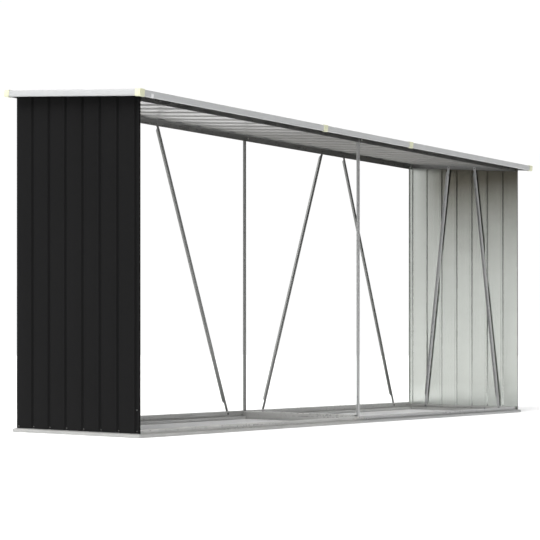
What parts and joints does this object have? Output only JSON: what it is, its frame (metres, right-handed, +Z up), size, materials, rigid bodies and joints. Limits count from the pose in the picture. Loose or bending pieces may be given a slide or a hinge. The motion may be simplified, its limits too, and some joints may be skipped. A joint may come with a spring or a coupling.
{
  "type": "log store",
  "caption": "Long open-fronted steel log store with ribbed end walls, a low sloped ribbed roof edged in trim, folded base and top rails, middle posts and leaning braces.",
  "frame": {"origin": "on the ground, under the middle of the whole store", "axes": "+X along the length to the right seen from the open low side, +Y to the high back, +Z up"},
  "size_m": [3.3, 0.8288, 1.5157],
  "materials": {
    "wall_sheet": "anthracite coat outside, pale grey-green back coat inside, satin",
    "roof_sheet": "anthracite coat on top, pale glossy back coat below",
    "galvanised_frame": "galvanised folded sheet, fine spangle",
    "roof_trim": "light grey coat, satin",
    "trim_cap": "pale cream moulded plastic"
  },
  "bodies": {
    "root": {"back_base_rail_left": "galvanised_frame", "back_base_rail_right": "galvanised_frame", "back_inner_brace_left": "galvanised_frame", "back_inner_brace_right": "galvanised_frame", "back_joint_covers": "trim_cap", "back_left_corner_cap": "trim_cap", "back_middle_post": "galvanised_frame", "back_outer_brace_left": "galvanised_frame", "back_outer_brace_right": "galvanised_frame", "back_right_corner_cap": "trim_cap", "back_top_rail_left": "galvanised_frame", "back_top_rail_right": "galvanised_frame", "back_trim_left": "roof_trim", "back_trim_middle": "roof_trim", "back_trim_right": "roof_trim", "front_base_rail_left": "galvanised_frame", "front_base_rail_right": "galvanised_frame", "front_joint_covers": "trim_cap", "front_left_corner_cap": "trim_cap", "front_middle_post": "galvanised_frame", "front_right_corner_cap": "trim_cap", "front_top_rail_left": "galvanised_frame", "front_top_rail_right": "galvanised_frame", "front_trim_left": "roof_trim", "front_trim_middle": "roof_trim", "front_trim_right": "roof_trim", "left_back_brace": "galvanised_frame", "left_base_rail": "galvanised_frame", "left_end_wall": "wall_sheet", "left_front_brace": "galvanised_frame", "left_top_rail": "galvanised_frame", "left_trim": "roof_trim", "middle_base_rail": "galvanised_frame", "right_back_brace": "galvanised_frame", "right_base_rail": "galvanised_frame", "right_end_wall": "wall_sheet", "right_front_brace": "galvanised_frame", "right_top_rail": "galvanised_frame", "right_trim": "roof_trim", "roof_sheet_1": "roof_sheet", "roof_sheet_2": "roof_sheet", "roof_sheet_3": "roof_sheet", "roof_sheet_4": "roof_sheet"}
  },
  "joints": []
}
